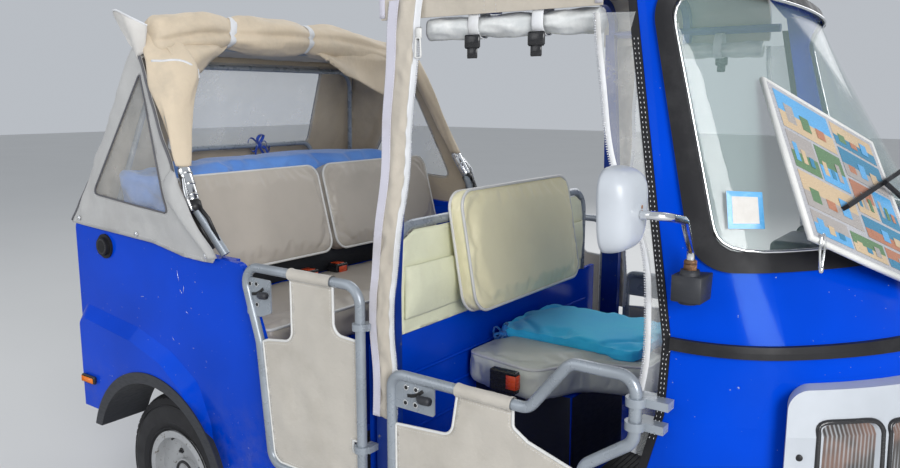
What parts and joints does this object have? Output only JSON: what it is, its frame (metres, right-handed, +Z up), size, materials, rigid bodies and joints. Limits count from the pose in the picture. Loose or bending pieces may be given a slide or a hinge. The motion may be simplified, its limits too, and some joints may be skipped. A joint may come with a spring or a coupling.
{
  "type": "auto rickshaw",
  "caption": "Open three-wheeled passenger rickshaw with curved windscreen, low tube-framed doors, rear bench and a folded canvas hood.",
  "frame": {"origin": "on the ground, at the middle of the whole vehicle's length and width", "axes": "+X forward, +Y to the vehicle's left, +Z up"},
  "size_m": [2.7599, 1.72, 1.765],
  "materials": {
    "body_blue": "gloss enamel",
    "chassis_black": "satin black paint",
    "tube_silver": "silver-grey paint",
    "tube_blue": "satin blue paint",
    "rim_silver": "silver paint",
    "engine_metal": "cast, dull",
    "fork_steel": "satin black paint",
    "chrome_bright": "polished",
    "tyre_black": "matt",
    "seal_black": "satin",
    "trim_black": "grained",
    "white_plastic": "gloss",
    "dash_black": "grained",
    "lamp_lens": "ribbed, clear to amber",
    "lamp_black": "gloss",
    "screen_glass": "clear, faint green",
    "clear_film": "clear soft film",
    "canvas_beige": "coated canvas, matt",
    "canvas_grey": "coated canvas, matt",
    "seat_beige": "vinyl cover, white piping",
    "pad_blue": "woven cover",
    "cloth_blue": "plain woven cloth",
    "board_card": "laminated card",
    "buckle_black": "moulded"
  },
  "bodies": {
    "body": {"chassis": "chassis_black", "floor_pan": "body_blue", "front_shell": "body_blue", "windscreen": "screen_glass", "front_seals": "seal_black", "headlamp_housings": "white_plastic", "headlamp_lenses": "lamp_lens", "roof_frame": "tube_blue", "roof_canvas": "canvas_beige", "pillar_flaps": "canvas_beige", "clear_curtains": "clear_film", "bulkhead": "body_blue", "bulkhead_cover": "canvas_beige", "rear_side_right": "body_blue", "rear_side_left": "body_blue", "rear_panel": "body_blue", "arch_trims": "trim_black", "rear_lamps": "lamp_black", "fuel_cap": "seal_black", "engine": "engine_metal", "rear_axle": "chassis_black", "rear_bench": "seat_beige", "rear_backrests": "seat_beige", "shelf_cover": "cloth_blue", "driver_seat_box": "body_blue", "driver_seat": "seat_beige", "driver_pad": "pad_blue", "driver_backrest": "seat_beige", "door_hinges": "tube_silver", "hood_bows": "tube_silver", "hood_canvas": "canvas_grey", "hood_windows": "clear_film", "rear_rail": "tube_silver", "hood_roll": "canvas_beige", "mirrors": "white_plastic", "mirror_arms": "chrome_bright", "dashboard": "dash_black", "display_board": "board_card", "wiper": "seal_black", "belt_buckles": "buckle_black"},
    "steering": {"steering_fork": "fork_steel", "handlebar": "dash_black", "front_fender": "body_blue"},
    "front_wheel": {"front_tyre": "tyre_black", "front_rim": "rim_silver"},
    "rear_wheel_right": {"rear_tyre_right": "tyre_black", "rear_rim_right": "rim_silver"},
    "rear_wheel_left": {"rear_tyre_left": "tyre_black", "rear_rim_left": "rim_silver"},
    "rear_door_right": {"rear_door_frame_right": "tube_silver", "rear_door_canvas_right": "canvas_beige"},
    "rear_door_left": {"rear_door_frame_left": "tube_silver", "rear_door_canvas_left": "canvas_beige"},
    "front_door_right": {"front_door_frame_right": "tube_silver", "front_door_canvas_right": "canvas_beige"},
    "front_door_left": {"front_door_frame_left": "tube_silver", "front_door_canvas_left": "canvas_beige"},
    "rear_hatch": {"engine_lid": "body_blue"}
  },
  "joints": [
    {"name": "steering_turn", "type": "hinge", "parent": "body", "child": "steering", "pos_m": [0.725, 0, 1.01], "axis": [-0.2924, 0, 0.9563], "range_deg": [-35, 35]},
    {"name": "front_wheel_spin", "type": "hinge", "parent": "steering", "child": "front_wheel", "pos_m": [1.01, 0, 0.25], "axis": [0, 1, 0], "continuous": true},
    {"name": "rear_wheel_right_spin", "type": "hinge", "parent": "body", "child": "rear_wheel_right", "pos_m": [-0.905, -0.56, 0.25], "axis": [0, 1, 0], "continuous": true},
    {"name": "rear_wheel_left_spin", "type": "hinge", "parent": "body", "child": "rear_wheel_left", "pos_m": [-0.905, 0.56, 0.25], "axis": [0, 1, 0], "continuous": true},
    {"name": "rear_door_right_swing", "type": "hinge", "parent": "body", "child": "rear_door_right", "pos_m": [-0.112, -0.648, 0.6], "axis": [0, 0, 1], "range_deg": [0, 75]},
    {"name": "rear_door_left_swing", "type": "hinge", "parent": "body", "child": "rear_door_left", "pos_m": [-0.112, 0.648, 0.6], "axis": [0, 0, -1], "range_deg": [0, 75]},
    {"name": "front_door_right_swing", "type": "hinge", "parent": "body", "child": "front_door_right", "pos_m": [0.565, -0.648, 0.6], "axis": [0, 0, 1], "range_deg": [0, 75]},
    {"name": "front_door_left_swing", "type": "hinge", "parent": "body", "child": "front_door_left", "pos_m": [0.565, 0.648, 0.6], "axis": [0, 0, -1], "range_deg": [0, 75]},
    {"name": "rear_hatch_lift", "type": "hinge", "parent": "body", "child": "rear_hatch", "pos_m": [-1.3673, 0, 0.725], "axis": [0, 1, 0], "range_deg": [0, 75]}
  ]
}
